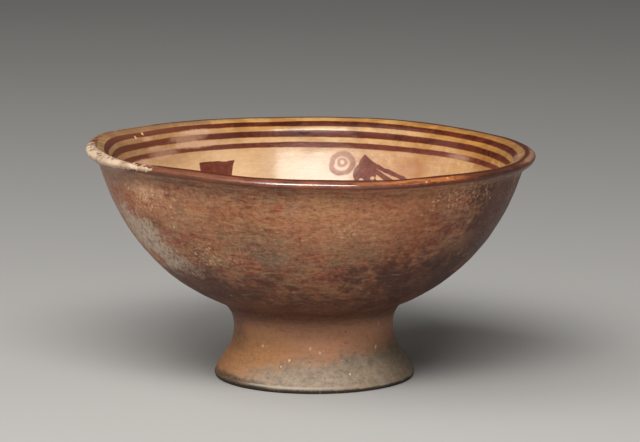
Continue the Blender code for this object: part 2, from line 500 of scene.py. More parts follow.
class Recipe:
    """Adds nodes to a node tree, joining each one as it is made."""

    def __init__(self, tree, kit=None):
        self.tree = tree
        self.kit = kit
        self.edge_grain = 0.5

    # Nodes and sums

    def join(self, source, socket):
        """Joins an output to an input, or sets the input to a plain value."""
        if isinstance(source, bpy.types.NodeSocket):
            self.tree.links.new(source, socket)
        else:
            socket.default_value = source

    def add(self, kind, inputs=(), **settings):
        """A node with its settings, and its inputs joined or set by name or by number."""
        node = self.tree.nodes.new(kind)
        for name, value in settings.items():
            setattr(node, name, value)
        for name, source in dict(inputs).items():
            self.join(source, node.inputs[name])
        return node

    def group(self, group, **inputs):
        """A placed node group, with inputs by name, an underscore standing for each space."""
        named = {name.replace("_", " "): source for name, source in inputs.items()}
        return self.add("ShaderNodeGroup", named, node_tree=group).outputs

    def math(self, operation, *sources):
        return self.add("ShaderNodeMath", dict(enumerate(sources)), operation=operation).outputs[0]

    def minus(self, first, second):
        return self.math("SUBTRACT", first, second)

    def rest(self, share):
        """What a share leaves of the whole."""
        return self.minus(1.0, share)

    def product(self, first, *others):
        for other in others:
            first = self.math("MULTIPLY", first, other)
        return first

    def most(self, first, *others):
        for other in others:
            first = self.math("MAXIMUM", first, other)
        return first

    def length(self, across, down):
        squares = self.math("ADD", self.math("POWER", across, 2.0), self.math("POWER", down, 2.0))
        return self.math("SQRT", squares)

    def fade(self, value, low, high):
        """0 where the value is at or under low, 1 at or over high, eased between them."""
        inputs = {"Value": value, "From Min": low, "From Max": high}
        settings = {"interpolation_type": "SMOOTHSTEP", "clamp": True}
        return self.add("ShaderNodeMapRange", inputs, **settings).outputs["Result"]

    def within(self, value, low, high, ease):
        """1 between low and high and 0 outside, eased over a distance at both ends."""
        rising = self.fade(self.minus(value, low), -ease, ease)
        falling = self.fade(self.minus(high, value), -ease, ease)
        return self.product(rising, falling)

    def stir(self, value, grain, amount):
        """A value that a grain pushes up and down, so that an edge drawn from it is torn."""
        return self.math("MULTIPLY_ADD", self.minus(grain, 0.5), amount, value)

    def blend(self, share, first, second):
        """The first number, turning into the second as the share grows."""
        inputs = {0: share, 2: first, 3: second}
        return self.add("ShaderNodeMix", inputs, data_type="FLOAT").outputs[0]

    # Colours

    def mix(self, share, first, second):
        """The first colour, turning into the second as the share grows."""
        inputs = {0: share, 6: first, 7: second}
        return self.add("ShaderNodeMix", inputs, data_type="RGBA", clamp_factor=True).outputs[2]

    def lay(self, mask, share, colour, paint):
        """A colour with a paint over it, which hides a share of it where the mask is full."""
        return self.mix(self.product(mask, share), colour, pigment(*paint))

    def mottled(self, grain, low, high, dark, light):
        """A dark and a light paint that a grain breaks into each other."""
        return self.mix(self.fade(grain, low, high), pigment(*dark), pigment(*light))

    def shade(self, colour, marks, amount):
        """A colour made lighter where the marks are over a half and darker where under."""
        strength = self.math("MULTIPLY_ADD", marks, amount, 1.0 - amount / 2.0)
        return self.scaled(colour, strength)

    def weather(self, colour, marks, amount):
        """A colour rubbed paler where the marks are over a half and dirtier where under."""
        rubbed = self.product(self.fade(marks, 0.5, 1.0), PALE_SHARE, amount)
        dirty = self.product(self.fade(marks, 0.5, 0.0), DARK_SHARE, amount)
        colour = self.mix(rubbed, colour, pigment(*PALE_MARKS))
        return self.mix(dirty, colour, pigment(*DARK_MARKS))

    # Patterns

    def scaled(self, vector, size):
        return self.add("ShaderNodeVectorMath", {0: vector, "Scale": size}, operation="SCALE").outputs[0]

    def moved(self, vector, step):
        return self.add("ShaderNodeVectorMath", {0: vector, 1: step}).outputs[0]

    def noise(self, vector, scale, detail=2.0, roughness=0.5, distortion=0.0):
        inputs = {"Vector": vector, "Scale": scale, "Detail": detail}
        inputs.update({"Roughness": roughness, "Distortion": distortion})
        return self.add("ShaderNodeTexNoise", inputs).outputs["Fac"]

    def noise_colour(self, vector, scale, detail):
        """Three noises at once, as a colour."""
        inputs = {"Vector": vector, "Scale": scale, "Detail": detail}
        return self.add("ShaderNodeTexNoise", inputs).outputs["Color"]

    def kept(self, name):
        """A number that the mesh keeps at each of its points."""
        return self.add("ShaderNodeAttribute", attribute_name=name).outputs["Fac"]

    # The shared node groups

    def burnish(self, fineness, stretch, contrast):
        inputs = {"Fineness": fineness, "Stretch": stretch, "Contrast": contrast}
        return self.group(self.kit.burnish, **inputs)["Marks"]

    def grit(self, spacing, size, share):
        return self.group(self.kit.grit, Spacing=spacing, Size=size, Share=share)["Spots"]

    def band(self, start, end, wander, softness):
        inputs = {"Start": start, "End": end, "Wander": wander, "Softness": softness}
        return self.group(self.kit.band, **inputs)["Mask"]

    def patch(self, angle, reach, half_width, half_height, slope, softness, raggedness):
        """The mask of a ragged patch, its edge broken by the recipe's own grain."""
        return self.group(
            self.kit.patch,
            Angle=angle,
            Reach=reach,
            Half_Width=half_width,
            Half_Height=half_height,
            Slope=slope,
            Softness=softness,
            Raggedness=raggedness,
            Grain=self.edge_grain,
        )["Mask"]

    def lay_patches(self, colour, rows, *edge):
        """A colour with each row's patch of paint laid over it, one after another."""
        for paint, share, *place in rows:
            colour = self.lay(self.patch(*place, *edge), share, colour, paint)
        return colour


NUMBER = "NodeSocketFloat"
COLOUR = "NodeSocketColor"
VECTOR = "NodeSocketVector"

# How far a grain pushes a patch's edge, and how far a band's edge drifts, slowly and quickly
PATCH_PUSH = 5.0
SLOW_DRIFT = 2.6
QUICK_DRIFT = 0.9

# How far grit is nudged off its even spacing, and the least of its sizes
GRIT_NUDGE = 1.6
SMALLEST_GRIT = 0.4


def new_group(name, inputs, outputs, kit=None):
    """An empty node group: its recipe, what it is given, and a way to hand out its results."""
    group = bpy.data.node_groups.new(name, "ShaderNodeTree")
    for socket, start in inputs.items():
        kind = start if isinstance(start, str) else NUMBER
        made = group.interface.new_socket(name=socket, in_out="INPUT", socket_type=kind)
        if kind is NUMBER:
            made.default_value = start
    for socket, kind in outputs.items():
        group.interface.new_socket(name=socket, in_out="OUTPUT", socket_type=kind)
    make = Recipe(group, kit)
    given = make.add("NodeGroupInput").outputs
    out = make.add("NodeGroupOutput").inputs

    def hand_out(**results):
        for socket, source in results.items():
            group.links.new(source, out[socket])
        return group

    return make, given, hand_out


def on_the_wall():
    """Where a point is on the wall: its angle in degrees, its reach, and places for patterns."""
    outputs = {"Angle": NUMBER, "Reach": NUMBER, "Radius": NUMBER, "Place": VECTOR, "Round": VECTOR}
    make, given, hand_out = new_group("on_the_wall", {"Stretch": 4.0}, outputs)
    place = make.scaled(make.add("ShaderNodeTexCoord").outputs["Object"], MILLIMETRES)
    parts = make.add("ShaderNodeSeparateXYZ", {0: place}).outputs
    reach = make.kept("reach")
    turn = make.math("ARCTAN2", parts["X"], make.product(parts["Y"], -1.0))
    drawn_out = {side: make.math("DIVIDE", parts[side], given["Stretch"]) for side in ("X", "Y")}
    drawn_out["Z"] = reach
    return hand_out(
        Angle=make.math("DEGREES", turn),
        Reach=reach,
        Radius=make.length(parts["X"], parts["Y"]),
        Place=place,
        Round=make.add("ShaderNodeCombineXYZ", drawn_out).outputs[0],
    )


def ragged_patch(wall):
    """An oval patch whose edge a grain breaks up, such as a stain or a worn place."""
    inputs = {
        "Angle": 0.0,
        "Reach": 0.0,
        "Half Width": 10.0,
        "Half Height": 10.0,
        "Slope": 0.0,
        "Softness": 0.5,
        "Raggedness": 0.5,
        "Grain": 0.5,
    }
    make, given, hand_out = new_group("ragged_patch", inputs, {"Mask": NUMBER})
    at = make.group(wall)
    turned = make.math("WRAP", make.minus(at["Angle"], given["Angle"]), 180.0, -180.0)
    across = make.product(make.math("RADIANS", turned), at["Radius"])
    down = make.minus(at["Reach"], given["Reach"])
    down = make.minus(down, make.product(across, given["Slope"]))
    wide = make.math("DIVIDE", across, given["Half Width"])
    away = make.length(wide, make.math("DIVIDE", down, given["Half Height"]))
    away = make.stir(away, given["Grain"], make.product(given["Raggedness"], PATCH_PUSH))
    inner = make.rest(given["Softness"])
    outer = make.math("ADD", 1.0, given["Softness"])
    return hand_out(Mask=make.rest(make.fade(away, inner, outer)))


def brushed_band(wall):
    """A band brushed round the wall, its edges wandering a little with the hand."""
    inputs = {"Start": 0.0, "End": 3.0, "Wander": 0.3, "Softness": 0.2}
    make, given, hand_out = new_group("brushed_band", inputs, {"Mask": NUMBER})
    at = make.group(wall)
    hard = make.product(given["Softness"], -1.0)
    sides = []
    for edge, shift in (("Start", 0.0), ("End", 37.0)):
        moved = make.moved(at["Place"], (shift, 11.0, 0.0))
        slow = make.minus(make.noise(moved, 0.026, detail=1.0), 0.5)
        quick = make.minus(make.noise(moved, 0.22, detail=3.0), 0.5)
        drift = make.math("MULTIPLY_ADD", slow, SLOW_DRIFT, make.product(quick, QUICK_DRIFT))
        line = make.math("MULTIPLY_ADD", drift, given["Wander"], given[edge])
        sides.append(make.fade(make.minus(at["Reach"], line), hard, given["Softness"]))
    return hand_out(Mask=make.product(sides[0], make.rest(sides[1])))


def burnish(wall):
    """Marks drawn round the wall by hand and stone: a pattern from 0 to 1."""
    inputs = {"Fineness": 1.0, "Stretch": 4.0, "Contrast": 1.0}
    make, given, hand_out = new_group("burnish", inputs, {"Marks": NUMBER})
    at = make.group(wall, Stretch=given["Stretch"])
    marks = make.noise(at["Round"], given["Fineness"], detail=5.0, roughness=0.68, distortion=0.25)
    marks = make.stir(0.5, marks, given["Contrast"])
    return hand_out(Marks=make.add("ShaderNodeClamp", {"Value": marks}).outputs[0])


def grit(wall):
    """Scattered spots of uneven size: pits, specks and flakes."""
    inputs = {"Spacing": 2.0, "Size": 0.3, "Share": 0.3}
    make, given, hand_out = new_group("grit", inputs, {"Spots": NUMBER})
    at = make.group(wall)
    nudge = make.scaled(make.noise_colour(at["Place"], 0.9, 3.0), GRIT_NUDGE)
    moved = make.moved(at["Place"], nudge)
    scale = make.math("DIVIDE", 1.0, given["Spacing"])
    cells = make.add("ShaderNodeTexVoronoi", {"Vector": moved, "Scale": scale}).outputs
    drawn = make.add("ShaderNodeSeparateColor", {0: cells["Color"]}).outputs
    size = make.product(given["Size"], make.math("ADD", drawn[1], SMALLEST_GRIT))
    past = make.minus(cells["Distance"], size)
    chosen = make.math("LESS_THAN", drawn[0], given["Share"])
    return hand_out(Spots=make.product(make.fade(past, 0.06, -0.12), chosen))


class Kit:
    """The node groups that the finishes share, each built once."""

    def __init__(self):
        self.wall = on_the_wall()
        self.patch = ragged_patch(self.wall)
        self.band = brushed_band(self.wall)
        self.burnish = burnish(self.wall)
        self.grit = grit(self.wall)
        self.lip = lip_finish(self)


# The lip's paint and the dark line along its inner edge: from and to by reach, wander, softness
LIP_PAINT = (-5.8, 1.2, 0.5, 0.35)
LIP_LINE = (-1.2, 1.4, 0.35, 0.35)

# Places on the lip: angle, reach, half width, half height, slope, softness, raggedness
LIP_WORN_OFF = (-114.0, -2.0, 38.0, 9.0, 0.0, 0.5, 0.5)
LIP_ROSY = (-1.0, -4.6, 22.0, 1.8, 0.0, 0.5, 0.4)
LIP_ORANGE = (28.0, -2.3, 27.0, 1.3, 0.0, 0.5, 0.30)
LIP_DULLER = (-34.0, -3.0, 30.0, 6.0, 0.0, 0.5, 0.5)
LIP_DARK_END = (57.0, -3.0, 22.0, 6.0, 0.0, 0.5, 0.3)
LIP_HANDLED = (5.0, -2.0, 32.0, 9.0, 0.0, 0.6, 0.5)
# A pale streak along the lip's outer face at the right end
LIP_PALE_STREAK = (82.0, -1.8, 20.0, 1.3, 0.0, 0.5, 0.30)
LIP_DUSTY = (-50.0, -0.8, 12.0, 2.6, 0.0, 0.5, 0.9)


def lip_paint(make, at, streak, duller, dark_end):
    """The lip's red-brown, with its rosy, orange, duller and darker places."""
    red = make.mix(streak, pigment(78, 38, 24), pigment(136, 74, 47))
    rosy = make.product(make.patch(*LIP_ROSY), streak)
    red = make.lay(rosy, 0.4, red, (166, 92, 60))
    ochre = make.mix(streak, pigment(116, 58, 28), pigment(190, 118, 62))
    orange = make.patch(*LIP_ORANGE)
    red = make.mix(make.product(orange, 0.85), red, ochre)
    red = make.lay(make.product(make.grit(2.2, 0.42, 0.36), orange), 0.8, red, (136, 44, 28))
    red = make.lay(make.product(make.grit(1.9, 0.30, 0.22), orange), 0.85, red, (240, 178, 122))
    below = make.product(make.fade(at["Reach"], -3.4, -4.6), make.fade(at["Angle"], 10.0, 24.0))
    red = make.lay(below, 0.7, red, (98, 38, 20))
    red = make.lay(duller, 0.55, red, (98, 58, 40))
    return make.lay(dark_end, 0.75, red, (54, 27, 19))


def lip_finish(kit):
    """The lip's red-brown paint and dark inner line, its plaster mend and its rubbed places."""
    inputs = {"Colour": COLOUR, "Roughness": 0.5, "Polish": 0.0, "Height": 0.0}
    outputs = {"Colour": COLOUR, "Roughness": NUMBER, "Polish": NUMBER, "Height": NUMBER}
    make, given, hand_out = new_group("lip_finish", inputs, outputs, kit)
    at = make.group(kit.wall)
    grain = make.noise(at["Place"], 0.35, detail=6.0, roughness=0.66)
    make.edge_grain = grain
    streak = make.burnish(0.75, 7.0, 3.4)
    worn_off = make.patch(*LIP_WORN_OFF)
    left = make.math("MULTIPLY_ADD", worn_off, -0.85, 1.0)
    paint = make.product(make.band(*LIP_PAINT), left)
    line = make.product(make.band(*LIP_LINE), left)
    duller = make.patch(*LIP_DULLER)
    dark_end = make.patch(*LIP_DARK_END)
    red = lip_paint(make, at, streak, duller, dark_end)
    colour = make.mix(make.product(paint, 0.95), given["Colour"], red)
    colour = make.lay(line, 0.86, colour, (74, 30, 17))
    rough = make.blend(paint, given["Roughness"], make.blend(streak, 0.34, 0.24))
    handled = make.product(make.patch(*LIP_HANDLED), make.fade(at["Reach"], -5.0, -3.6))
    shine = make.product(handled, make.blend(streak, 0.75, 1.0))
    polish = make.blend(paint, given["Polish"], shine)
    colour = make.lay(make.patch(*LIP_PALE_STREAK), 0.7, colour, (164, 128, 102))

    # The plaster, and the dust of it on the paint beside it
    plaster = make.fade(make.stir(make.kept("plaster"), grain, 4.5), -0.25, 0.25)
    lumps = make.noise(at["Place"], 0.16, detail=6.0, roughness=0.60)
    pale = make.mottled(lumps, 0.38, 0.60, (170, 142, 116), (206, 182, 156))
    soiled = make.fade(make.noise(at["Place"], 0.45, detail=6.0, roughness=0.7), 0.46, 0.34)
    pale = make.lay(soiled, 0.5, pale, (140, 110, 86))
    crumbs = make.product(make.grit(1.9, 0.46, 0.46), make.fade(at["Reach"], -3.2, -1.2))
    pale = make.lay(crumbs, 0.95, pale, (78, 50, 37))
    dusty = make.patch(*LIP_DUSTY)
    dust = make.product(dusty, make.fade(grain, 0.44, 0.54))
    colour = make.lay(dust, 0.85, colour, (216, 172, 148))
    colour = make.mix(plaster, colour, pale)
    rough = make.blend(make.most(plaster, dusty), rough, 0.66)
    dull = make.most(plaster, dusty, worn_off, make.product(make.most(duller, dark_end), 0.8))
    polish = make.product(polish, make.rest(dull))
    height = make.minus(given["Height"], make.product(crumbs, plaster, 0.5))
    return hand_out(Colour=colour, Roughness=rough, Polish=polish, Height=height)


def new_finish(name, kit=None):
    """A material with its Principled shader: the material, the recipe and the shader."""
    material = bpy.data.materials.new(name)
    material.use_nodes = True
    shader = material.node_tree.nodes["Principled BSDF"]
    return material, Recipe(material.node_tree, kit), shader


def finish_with(make, shader, colour, roughness, height):
    """Feeds a shader its colour, its roughness and a relief whose height is in millimetres."""
    make.join(colour, shader.inputs["Base Color"])
    make.join(roughness, shader.inputs["Roughness"])
    relief_of = {"Height": height, "Strength": 1.0, "Distance": 1.0 / MILLIMETRES}
    make.join(make.add("ShaderNodeBump", relief_of).outputs[0], shader.inputs["Normal"])


def finish_to_the_lip(make, shader, polish_roughness, **surface):
    """Feeds a shader a slip that the lip's finish and the shine of rubbing with a stone go over."""
    lip = make.group(make.kit.lip, **surface)
    finish_with(make, shader, lip["Colour"], lip["Roughness"], lip["Height"])
    make.join(lip["Polish"], shader.inputs["Coat Weight"])
    shader.inputs["Coat Roughness"].default_value = polish_roughness


# Colours that the firing left on the outside, and painted shade under the lip
OUTSIDE_STAINS_AND_SHADE = (
    # paint, share, angle, reach, half width, half height, slope
    ((166, 92, 52), 0.75, -61.0, -22.0, 18.0, 10.0, 0.0),
    ((158, 104, 64), 0.60, -21.0, -26.0, 18.0, 9.0, 0.0),
    ((178, 104, 66), 0.60, 26.0, -16.0, 18.0, 8.0, 0.0),
    ((126, 60, 48), 0.65, -15.0, -40.5, 8.0, 4.5, 0.0),
    ((138, 118, 94), 0.60, -11.0, -46.0, 9.0, 4.0, 0.0),
    ((140, 118, 92), 0.60, -3.0, -18.0, 8.0, 4.0, 0.0),
    ((152, 68, 46), 0.60, -5.0, -29.0, 10.0, 3.5, 0.2),
    ((150, 118, 74), 0.60, 13.0, -27.0, 7.0, 4.0, 0.0),
    ((140, 66, 44), 0.60, 8.0, -57.0, 10.0, 4.0, 0.0),
    ((168, 120, 84), 0.60, -52.0, -15.0, 14.0, 4.5, 0.0),
    ((160, 112, 80), 0.60, -30.0, -16.0, 14.0, 4.5, 0.0),
    ((178, 134, 98), 0.55, -38.0, -27.0, 12.0, 6.0, 0.0),
    ((232, 184, 148), 0.60, -50.0, -16.5, 9.0, 3.2, 0.0),
    ((110, 72, 40), 0.60, -49.0, -31.0, 7.0, 4.0, 0.3),
    ((190, 150, 114), 0.50, -30.0, -47.5, 7.0, 2.6, 0.2),
    ((182, 114, 74), 0.60, 5.0, -24.0, 20.0, 12.0, 0.0),
    ((186, 138, 90), 0.60, 5.0, -16.0, 9.0, 5.0, 0.0),
    ((130, 110, 84), 0.50, -14.0, -36.0, 20.0, 9.0, 0.0),
    ((128, 106, 78), 0.50, 13.0, -38.0, 16.0, 9.0, 0.0),
    ((172, 98, 58), 0.70, 29.0, -33.0, 13.0, 14.0, 0.0),
    ((176, 116, 74), 0.60, 32.0, -13.0, 16.0, 7.0, 0.0),
    ((104, 70, 50), 0.65, 58.0, -16.0, 20.0, 14.0, 0.0),
    ((148, 116, 86), 0.65, 50.0, -39.5, 8.0, 4.0, 0.3),
    # Painted shade: two darker bands under the lip's overhang
    ((118, 88, 68), 0.50, -44.0, -8.6, 22.0, 2.2, 0.0),
    ((100, 70, 52), 0.45, -12.0, -6.8, 24.0, 0.8, 0.0),
    ((158, 136, 116), 0.70, -81.0, -24.0, 9.0, 15.0, 0.0),
    ((152, 122, 98), 0.60, -66.0, -13.0, 20.0, 4.5, 0.0),
    ((190, 128, 86), 0.50, -50.0, -22.0, 15.0, 8.0, 0.0),
    ((186, 130, 92), 0.50, 8.0, -27.0, 30.0, 14.0, 0.0),
    ((122, 104, 86), 0.65, 142.0, -38.0, 26.0, 15.0, 0.2),
    ((172, 98, 60), 0.60, -128.0, -26.0, 30.0, 14.0, 0.0),
    ((176, 130, 92), 0.55, 112.0, -20.0, 18.0, 8.0, 0.0),
)
STAIN_AND_SHADE_EDGE = (0.42, 0.85)

# Smoke and soot that darken the outside over everything else, partly painted shade on the right side and
# low on the belly, and a place rubbed clear of it
OUTSIDE_SOOT_AND_SHADE = (
    # paint, share, angle, reach, half width, half height, slope
    ((66, 26, 14), 0.78, 71.0, -42.0, 38.0, 30.0, 0.3),
    ((61, 25, 12), 0.68, 44.0, -64.0, 38.0, 19.0, 0.0),
    ((70, 31, 15), 0.66, -44.0, -69.0, 38.0, 13.0, 0.0),
    ((76, 37, 20), 0.50, 62.0, -22.0, 18.0, 18.0, 0.2),
    ((62, 42, 33), 0.55, -158.0, -62.0, 34.0, 16.0, 0.0),
    ((132, 88, 62), 0.60, 51.0, -41.0, 10.0, 4.5, 0.3),
    ((60, 15, 5), 0.18, 42.0, -36.0, 30.0, 26.0, 0.0),
    ((60, 15, 5), 0.18, -39.0, -56.0, 26.0, 16.0, 0.0),
    ((120, 50, 34), 0.20, 66.0, -24.0, 12.0, 12.0, 0.0),
)
SOOT_AND_SHADE_EDGE = (0.50, 0.75)

# Stains of the foot, with a band of painted light round the neck and a band of painted shade under the
# bowl
FOOT_STAINS_LIGHT_AND_SHADE = (
    # paint, share, angle, reach, half width, half height, slope, softness, raggedness
    # Painted light: a paler band round the neck, where the bowl above shades it
    ((224, 164, 130), 0.75, 12.0, -107.5, 38.0, 10.0, 0.0, 0.6, 0.25),
    ((188, 134, 82), 0.60, -44.0, -119.0, 26.0, 12.0, 0.0, 0.6, 0.3),
    ((104, 68, 46), 0.6, -78.0, -108.0, 14.0, 9.0, 0.0, 0.6, 0.25),
    # Painted shade: a darker band in the crease under the bowl
    ((92, 62, 46), 0.40, 18.0, -95.0, 50.0, 4.5, 0.0, 0.6, 0.25),
    ((100, 74, 58), 0.36, 94.0, -122.0, 36.0, 20.0, 0.0, 0.6, 0.2),
)

# More places: angle, reach, half width, half height, slope, softness, raggedness
SMOKE_CLOUD = (44.0, -135.0, 74.0, 18.5, 0.04, 0.20, 0.18)
FOOT_EDGE_SOOT = (-62.0, -133.0, 28.0, 3.2, 0.0, 0.35, 0.20)
# A painted highlight along the front of the foot's rounded lower edge
FOOT_EDGE_HIGHLIGHT = (-12.0, -131.8, 22.0, 0.5, 0.0, 0.5, 0.30)
CHALK = (-60.5, -42.5, 19.0, 14.5, -0.28, 0.24, 1.15)
BRIGHT_FLECKS = (-50.0, -17.0, 10.0, 4.0, 0.0, 0.5, 0.9)

# Places of the outside where the slip is rubbed through in flecks
OUTSIDE_WEAR = (
    # angle, reach, half width, half height
    (-50.0, -20.5, 16.0, 8.0),
    (43.0, -14.5, 18.0, 8.0),
    (-33.0, -45.5, 19.0, 7.0),
    (11.0, -28.0, 9.0, 4.0),
    (172.0, -24.0, 26.0, 10.0),
    (-112.0, -44.0, 16.0, 7.0),
)
WEAR_EDGE = (0.0, 0.5, 0.9)

SCRATCHES = (
    # angle, reach, half length, slope
    (-5.9, -61.5, 2.8, -0.65),
    (-7.3, -70.7, 1.3, -0.9),
    (11.0, -72.0, 3.2, -0.3),
    (13.2, -107.5, 1.8, 0.2),
    (48.5, -41.0, 3.6, 0.7),
    (-27.0, -72.0, 2.4, 0.2),
    (30.0, -56.0, 2.6, -0.15),
)
SCRATCH_HALF_WIDTH = 0.32
SCRATCH_EDGE = (0.4, 0.3)

# The rubbed and the dirty marks all over the outside, and how much of the slip they hide
PALE_MARKS = (194, 142, 110)
PALE_SHARE = 0.36
DARK_MARKS = (68, 36, 25)
DARK_SHARE = 0.31


def mottled_slip(make, at, coarse):
    """The slip's red-brown as the firing mottled and stained it, with painted shade under the lip,
    before the soot and wear that follow.
    """
    cool = make.noise(at["Place"], 0.13, detail=7.0, roughness=0.68, distortion=0.4)
    hazy = make.noise(at["Round"], 0.50, detail=5.0, roughness=0.62)
    colour = make.mottled(coarse, 0.41, 0.59, (131, 77, 56), (172, 106, 72))
    colour = make.lay(make.fade(cool, 0.50, 0.60), 0.65, colour, (144, 112, 88))
    colour = make.lay(make.fade(cool, 0.47, 0.37), 0.60, colour, (158, 80, 54))
    colour = make.lay(make.fade(hazy, 0.51, 0.60), 0.72, colour, (166, 128, 84))
    colour = make.lay(make.fade(hazy, 0.47, 0.38), 0.70, colour, (144, 60, 41))
    return make.lay_patches(colour, OUTSIDE_STAINS_AND_SHADE, *STAIN_AND_SHADE_EDGE)


def foot_slip(make, at, colour, foot, coarse, grain):
    """The foot's warmer slip, with painted light round the neck, painted shade under the bowl and the
    grey cloud of smoke round its lower half.
    """
    warm = make.mottled(coarse, 0.38, 0.62, (150, 102, 68), (178, 122, 78))
    colour = make.mix(make.product(foot, 0.88), colour, warm)
    colour = make.lay_patches(colour, FOOT_STAINS_LIGHT_AND_SHADE)
    grey = make.mottled(grain, 0.34, 0.66, (126, 114, 97), (156, 144, 126))
    grey = make.mix(make.fade(at["Angle"], 30.0, 70.0), grey, pigment(102, 97, 82))
    colour = make.mix(make.product(make.patch(*SMOKE_CLOUD), 0.95), colour, grey)
    return make.lay(make.patch(*FOOT_EDGE_SOOT), 0.85, colour, (58, 52, 43))


def chalky_crust(make, broken):
    """The colour of the chalky crust at the left, with the drips that run down it."""
    drips = make.burnish(0.20, 0.24, 3.6)
    chalky = make.mottled(broken, 0.34, 0.52, (142, 114, 92), (208, 189, 169))
    chalky = make.lay(make.fade(drips, 0.35, 0.0), 0.85, chalky, (104, 74, 54))
    return make.lay(make.fade(drips, 0.6, 1.0), 0.6, chalky, (228, 208, 194))


def outside_slip():
    """Burnished red-brown slip, mottled in the firing, stained and worn since, with painted shade and
    painted light.
    """
    material, make, shader = new_finish("outside_slip", KIT)
    at = make.group(KIT.wall)
    coarse = make.noise(at["Place"], 0.075, detail=8.0, roughness=0.66)
    grain = make.noise(at["Place"], 0.30, detail=7.0, roughness=0.70)
    torn = make.noise(at["Place"], 0.95, detail=4.0, roughness=0.6)
    speckle = make.fade(make.noise(at["Place"], 0.50, detail=6.0, roughness=0.78), 0.34, 0.66)
    streak = make.burnish(0.50, 4.0, 3.2)
    fine = make.burnish(1.0, 2.3, 3.6)
    broken = make.math("MULTIPLY_ADD", coarse, 0.55, make.product(grain, 0.45))
    make.edge_grain = broken
    foot = make.fade(at["Reach"], -99.0, -109.0)
    colour = mottled_slip(make, at, coarse)
    colour = foot_slip(make, at, colour, foot, coarse, grain)

    strength = make.math("MULTIPLY_ADD", foot, -0.55, 1.0)
    for marks, amount in ((streak, 0.75), (fine, 0.85), (speckle, 1.0)):
        colour = make.weather(colour, marks, make.product(strength, amount))
    # Soot, and painted shade on the right side and low on the belly
    colour = make.lay_patches(colour, OUTSIDE_SOOT_AND_SHADE, *SOOT_AND_SHADE_EDGE)
    # Darker low on the belly: partly painted shade where the wall turns under, partly darker staining
    low = make.fade(make.math("MULTIPLY_ADD", coarse, 30.0, at["Reach"]), -36.0, -70.0)
    low = make.product(low, make.rest(foot))
    colour = make.lay(low, 0.72, colour, (58, 24, 11))

    # Flecks, specks and pits
    worn = make.most(*[make.patch(*place, *WEAR_EDGE) for place in OUTSIDE_WEAR])
    flakes = make.fade(make.noise(at["Place"], 0.60, detail=9.0, roughness=0.86), 0.52, 0.58)
    flecks = make.product(worn, make.most(make.grit(1.7, 0.34, 0.50), flakes))
    flecks = make.most(flecks, make.product(make.grit(2.4, 0.20, 0.22), foot, flakes, 0.9))
    colour = make.lay(flecks, 0.90, colour, (214, 168, 130))
    bright = make.product(make.patch(*BRIGHT_FLECKS), flakes)
    colour = make.lay(bright, 0.85, colour, (240, 206, 176))
    colour = make.lay(make.grit(3.4, 0.15, 0.20), 0.55, colour, (200, 158, 122))
    pits = make.grit(2.3, 0.17, 0.22)
    colour = make.lay(pits, 0.45, colour, (76, 48, 38))

    # The chalky crust, the scratches, painted shade and a painted highlight along the foot's lower edge,
    # and the chips
    chalk = make.patch(*CHALK)
    chalky = chalky_crust(make, broken)
    colour = make.mix(make.product(chalk, make.blend(speckle, 0.60, 1.0)), colour, chalky)
    scratched = make.most(*[
        make.patch(angle, reach, half_length, SCRATCH_HALF_WIDTH, slope, *SCRATCH_EDGE)
        for angle, reach, half_length, slope in SCRATCHES
    ])
    colour = make.lay(scratched, 0.42, colour, (186, 150, 122))
    # Painted shade under the foot's rounded lower edge, where it turns in to the table
    edge = make.fade(make.math("MULTIPLY_ADD", grain, 1.6, at["Reach"]), -131.5, -132.4)
    colour = make.lay(edge, 0.90, colour, (50, 42, 35))
    # A painted highlight along the foot's lower edge
    colour = make.lay(make.patch(*FOOT_EDGE_HIGHLIGHT), 0.75, colour, (176, 168, 152))
    chip = make.stir(make.kept("chip"), torn, 3.0)
    colour = make.mix(make.fade(chip, 0.45, 0.80), colour, pigment(234, 192, 148))

    rough = make.blend(fine, 0.36, 0.52)
    rough = make.blend(worn, rough, 0.58)
    rough = make.blend(make.product(make.most(foot, low), 0.8), rough, 0.56)
    rough = make.blend(make.most(chalk, edge, chip), rough, 0.85)
    height = make.math("MULTIPLY_ADD", streak, 0.10, make.product(fine, 0.06))
    height = make.math("MULTIPLY_ADD", grain, 0.22, height)
    height = make.math("MULTIPLY_ADD", make.most(pits, scratched), -0.14, height)
    finish_to_the_lip(make, shader, 0.11, Colour=colour, Roughness=rough, Height=height)
    shader.inputs["Coat IOR"].default_value = 2.2
    shader.inputs["Specular IOR Level"].default_value = 0.32
    return material


